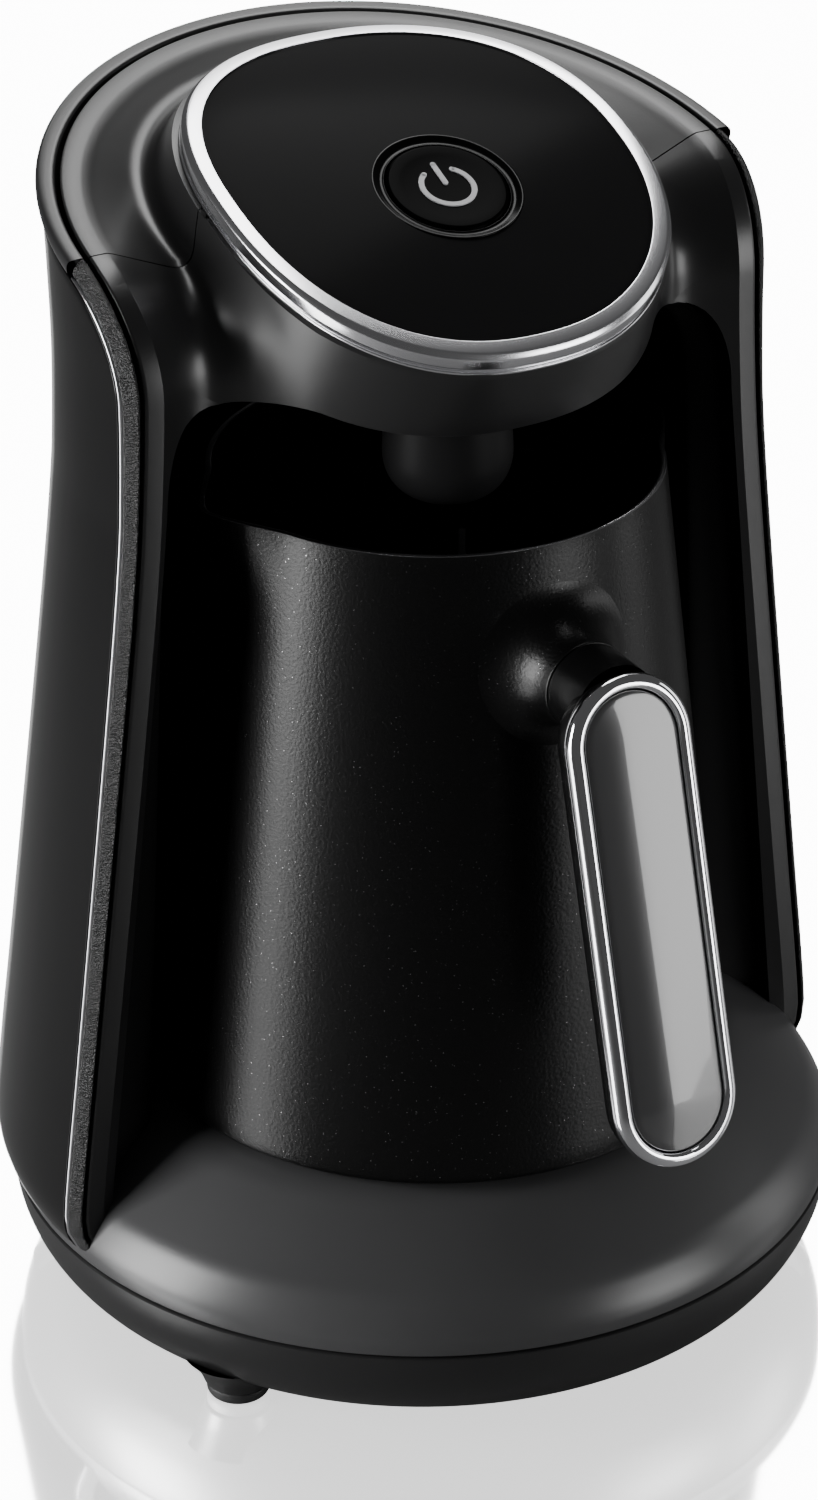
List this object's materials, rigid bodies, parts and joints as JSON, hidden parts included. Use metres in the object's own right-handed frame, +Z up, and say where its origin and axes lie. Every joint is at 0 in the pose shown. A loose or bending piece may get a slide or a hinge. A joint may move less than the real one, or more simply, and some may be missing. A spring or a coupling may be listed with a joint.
{
  "type": "electric turkish coffee maker",
  "caption": "Compact electric Turkish coffee maker: round heated base, two-winged body round a lift-out pot with an upright handle, and a tilted head with one push button.",
  "frame": {"origin": "middle of the footprint box, on the surface the feet stand on", "axes": "+Z up, -Y to the front where the grip stands out, +X to the right of someone who faces along +Y, that is of the user"},
  "size_m": [0.1604, 0.1734, 0.2266],
  "materials": {
    "shell_plastic": "satin",
    "base_plastic": "satin",
    "cover_plastic": "smooth satin",
    "trim_plastic": "fine grain",
    "gloss_black": "glossy",
    "pot_coating": "fine sparkling non-stick coating",
    "chrome": "polished",
    "grip_plastic": "satin",
    "inlay_grey": "glossy",
    "plate_steel": "fine turned",
    "screw_steel": "plain",
    "heater_metal": "cast",
    "seal_rubber": "soft",
    "foot_rubber": "soft",
    "brass_can": "plain",
    "board_green": "lacquered",
    "part_black": "moulded",
    "relay_blue": "moulded",
    "coil_yellow": "taped",
    "wire_white": "plain",
    "guide_white": "translucent look",
    "symbol_grey": "printed",
    "mark_grey": "coated"
  },
  "bodies": {
    "machine": {"base_lower_shell": "base_plastic", "base_upper_shell": "base_plastic", "rubber_feet": "foot_rubber", "base_screws": "screw_steel", "heating_plate": "plate_steel", "plate_seal": "seal_rubber", "heating_element": "heater_metal", "heat_shield": "screw_steel", "temperature_sensor": "brass_can", "thermal_fuse": "wire_white", "power_board": "board_green", "relay_block": "relay_blue", "supply_block": "coil_yellow", "cord_gland": "seal_rubber", "outer_cover": "cover_plastic", "edge_trim": "trim_plastic", "front_frame": "shell_plastic", "top_cover": "shell_plastic", "niche_liner": "gloss_black", "wiring_loom": "wire_white", "head_housing": "shell_plastic", "head_floor_cover": "gloss_black", "chrome_ring": "chrome", "top_panel": "gloss_black", "button_dish": "gloss_black", "light_guide": "guide_white", "tact_switch": "part_black", "control_board": "board_green", "buzzer": "part_black", "foam_sensor": "gloss_black", "head_screws": "screw_steel"},
    "pot": {"pot_body": "pot_coating", "pot_base_disc": "plate_steel", "level_mark": "mark_grey", "handle_boss": "pot_coating", "handle_grip": "grip_plastic", "handle_bezel": "chrome", "handle_inlay": "inlay_grey", "handle_screw": "screw_steel"},
    "button": {"power_button": "gloss_black", "power_symbol": "symbol_grey"}
  },
  "joints": [
    {"name": "button_press", "type": "slide", "parent": "machine", "child": "button", "axis": [0, 0.3665, -0.9304], "range_m": [0, 0.0012], "stiffness_N_per_m": 300, "springref_m": -0.001},
    {"name": "pot_slide", "type": "slide", "parent": "machine", "child": "pot", "axis": [0, -1, 0], "range_m": [0, 0.17]}
  ]
}
